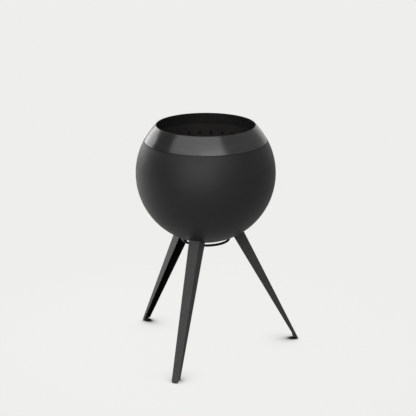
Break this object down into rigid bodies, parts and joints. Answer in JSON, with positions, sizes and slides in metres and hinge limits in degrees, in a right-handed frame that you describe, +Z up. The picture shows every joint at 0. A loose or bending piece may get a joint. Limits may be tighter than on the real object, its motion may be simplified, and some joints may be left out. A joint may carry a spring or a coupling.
{
  "type": "fire basket",
  "caption": "Round steel fire basket with an open top, a lift-off collar and splayed folded-sheet legs; liner, grate and ash pan lift out.",
  "frame": {"origin": "on the ball's axis, at ground level", "axes": "+Z up along the ball's axis; the front leg points along -Y and a little to -X, the right leg along +X and a little to +Y"},
  "size_m": [0.5375, 0.5468, 0.76],
  "materials": {
    "bowl_black": "matte",
    "collar_steel": "satin",
    "leg_black": "satin",
    "bracket_black": "matte",
    "ring_black": "gloss",
    "shield_steel": "satin",
    "liner_steel": "sooty",
    "grate_iron": "rough",
    "pan_steel": "satin",
    "fastener_steel": "satin",
    "glide_steel": "satin"
  },
  "bodies": {
    "stand": {"bowl_shell": "bowl_black", "base_ring": "ring_black", "heat_shield": "shield_steel", "front_leg": "leg_black", "front_bracket": "bracket_black", "front_foot_plate": "leg_black", "front_glide": "glide_steel", "right_leg": "leg_black", "right_bracket": "bracket_black", "right_foot_plate": "leg_black", "right_glide": "glide_steel", "rear_leg": "leg_black", "rear_bracket": "bracket_black", "rear_foot_plate": "leg_black", "rear_glide": "glide_steel", "leg_studs": "fastener_steel", "leg_washers": "fastener_steel", "leg_nuts": "fastener_steel", "mounting_bolts": "fastener_steel", "mounting_washers": "fastener_steel", "mounting_spacers": "fastener_steel", "mounting_nuts": "fastener_steel"},
    "liner": {"fire_liner": "liner_steel"},
    "collar": {"collar": "collar_steel"},
    "pan": {"ash_pan": "pan_steel", "pan_handle": "pan_steel", "handle_rivets": "fastener_steel"},
    "grate": {"fire_grate": "grate_iron"}
  },
  "joints": [
    {"name": "liner_lift", "type": "slide", "parent": "stand", "child": "liner", "axis": [0, 0, 1], "range_m": [0, 0.3]},
    {"name": "collar_lift", "type": "slide", "parent": "liner", "child": "collar", "axis": [0, 0, 1], "range_m": [0, 0.12]},
    {"name": "pan_lift", "type": "slide", "parent": "liner", "child": "pan", "axis": [0, 0, 1], "range_m": [0, 0.33]},
    {"name": "grate_lift", "type": "slide", "parent": "pan", "child": "grate", "axis": [0, 0, 1], "range_m": [0, 0.27]}
  ]
}
